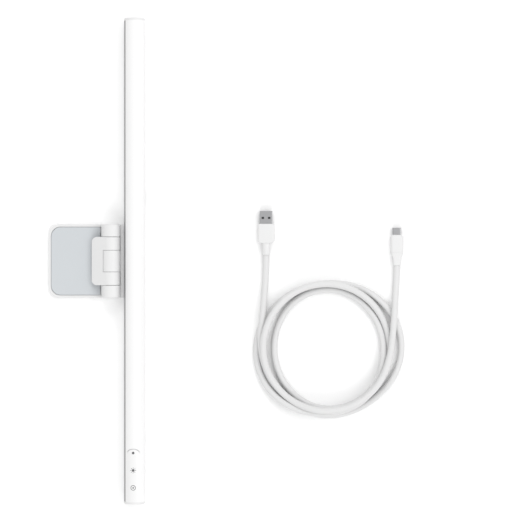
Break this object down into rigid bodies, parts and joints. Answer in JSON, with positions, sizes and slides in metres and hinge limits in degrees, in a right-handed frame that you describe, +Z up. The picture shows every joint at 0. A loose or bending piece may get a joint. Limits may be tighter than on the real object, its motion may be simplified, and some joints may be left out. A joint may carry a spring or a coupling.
{
  "type": "monitor light bar",
  "caption": "White tubular monitor light bar with a sprung screen clip, a swivelling lamp tube, touch keys and an unplugged USB cable lying coiled beside it.",
  "frame": {"origin": "on the surface that the bar and its clip lie on, under the middle of the box round both, cable left out", "axes": "+Y along the lamp tube, away from the touch keys; -X from the tube towards the clip's free edge; +Z up, the side that faces the user when the bar hangs on a screen with -X down"},
  "size_m": [0.3313, 0.45, 0.0193],
  "materials": {
    "white_aluminium": "matt white powder coat on an extruded tube",
    "diffuser": "satin translucent acrylic, unlit",
    "reflector_plastic": "white reflective sheet",
    "board_aluminium": "white solder mask on aluminium",
    "led": "phosphor-filled packages",
    "raw_aluminium": "mill finish",
    "inner_plastic": "moulded black plastic",
    "circuit_board": "green solder mask",
    "component_black": "moulded packages",
    "panel_plastic": "smooth white touch panel",
    "icon_ink": "grey printed marks",
    "spring_steel": "drawn spring wire",
    "shell_steel": "satin nickel-plated sheet",
    "contact_plastic": "moulded insulator",
    "wire_cover": "insulated wire",
    "white_plastic": "satin white moulding",
    "screw_steel": "zinc-plated steel",
    "grey_silicone": "soft blue-grey silicone",
    "liner": "thin friction lining",
    "gold_contact": "gold-plated contact",
    "cable_white": "soft white cable jacket"
  },
  "bodies": {
    "clip": {"clip_frame": "white_plastic", "back_pad": "grey_silicone", "back_stiffener": "shell_steel", "hinge_pin": "screw_steel", "pin_caps": "white_plastic", "torsion_springs": "spring_steel", "swivel_stem": "screw_steel", "swivel_clamp": "screw_steel", "friction_liner": "liner", "saddle_screws": "screw_steel", "usb_a_shell": "shell_steel", "usb_a_tongue": "contact_plastic", "usb_a_contacts": "gold_contact", "usb_a_body": "cable_white", "usb_a_boot": "cable_white", "usb_c_shell": "shell_steel", "usb_c_insert": "contact_plastic", "usb_c_body": "cable_white", "usb_c_boot": "cable_white", "cord_lead_a": "cable_white", "cord_lead_c": "cable_white", "cord_coil": "cable_white"},
    "front_lip": {"front_lip": "white_plastic", "lip_pad": "grey_silicone"},
    "light_bar": {"tube_housing": "white_aluminium", "diffuser": "diffuser", "reflector": "reflector_plastic", "led_board": "board_aluminium", "led_packages": "led", "carrier_spine": "raw_aluminium", "spine_clips": "inner_plastic", "driver_board": "circuit_board", "driver_components": "component_black", "touch_panel": "panel_plastic", "touch_icons": "icon_ink", "touch_board": "circuit_board", "touch_springs": "spring_steel", "usb_socket": "shell_steel", "usb_socket_tongue": "contact_plastic", "usb_board": "circuit_board", "inner_wires": "wire_cover", "end_cap_far": "white_plastic", "end_cap_control": "white_plastic", "end_cap_screws": "screw_steel"}
  },
  "joints": [
    {"name": "lip_hinge", "type": "hinge", "parent": "clip", "child": "front_lip", "pos_m": [0.0133, 0, 0.0089], "axis": [0, 1, 0], "range_deg": [0, 70], "stiffness_Nm_per_rad": 0.08, "springref_deg": -45.84},
    {"name": "lamp_swivel", "type": "hinge", "parent": "clip", "child": "light_bar", "pos_m": [0.03535, 0, 0.00965], "axis": [0, 1, 0], "range_deg": [-10, 30]}
  ]
}
